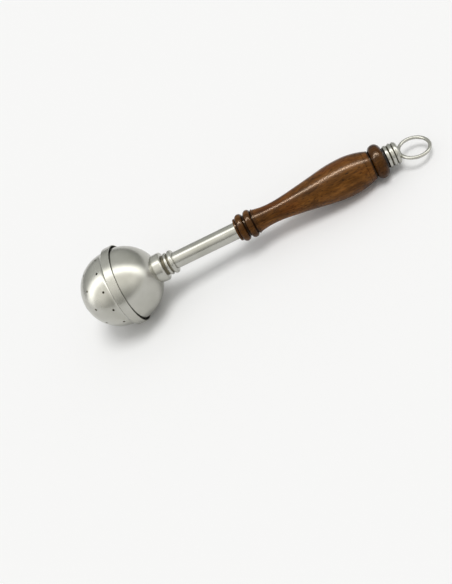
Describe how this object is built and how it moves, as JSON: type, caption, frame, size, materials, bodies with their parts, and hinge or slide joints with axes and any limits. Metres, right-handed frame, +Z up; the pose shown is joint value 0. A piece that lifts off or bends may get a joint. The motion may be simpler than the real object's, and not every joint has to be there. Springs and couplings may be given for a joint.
{
  "type": "aspergillum",
  "caption": "Holy-water sprinkler: a perforated hollow ball that unscrews to take a sponge, on a ringed metal tube with a turned wooden handle, an end ferrule and a hanging ring.",
  "frame": {"origin": "middle of the length and width, on the surface that the sprinkler lies on", "axes": "+X from the ball toward the hanging ring, +Z up. The shaft slopes down toward the ring by 5.26 degrees, because the ball is larger than the handle."},
  "size_m": [0.2822, 0.0638, 0.0641],
  "materials": {
    "plated_brass": "nickel-chrome plate on spun or turned brass, satin polish",
    "brass": "plain turned brass",
    "steel": "zinc-plated steel",
    "hardwood": "dark stained hardwood under gloss varnish",
    "rubber": "black nitrile rubber",
    "fibre": "black vulcanised fibre",
    "sponge": "open-cell sponge"
  },
  "bodies": {
    "wand": {"rear_shell": "plated_brass", "shell_thread_ring": "brass", "sponge": "sponge", "backing_disc": "brass", "head_nut": "steel", "tie_rod": "steel", "neck_collar": "plated_brass", "bead_ring": "plated_brass", "shaft_tube": "plated_brass", "wood_handle": "hardwood", "end_washer": "fibre", "end_ferrule": "plated_brass", "hang_ring": "plated_brass"},
    "seal": {"sealing_ring": "rubber"},
    "cap": {"perforated_cap": "plated_brass", "cap_thread_ring": "brass"}
  },
  "joints": [
    {"name": "cap_travel", "type": "slide", "parent": "wand", "child": "seal", "axis": [-0.9958, 0, 0.0916], "range_m": [0, 0.00375]},
    {"name": "cap_turn", "type": "hinge", "parent": "seal", "child": "cap", "pos_m": [-0.10672, 0, 0.03215], "axis": [-0.9958, 0, 0.0916], "range_deg": [0, 900]}
  ],
  "couplings": [
    {"joint": "cap_travel", "follows": "cap_turn", "m_per_rad": 0.00023873}
  ]
}
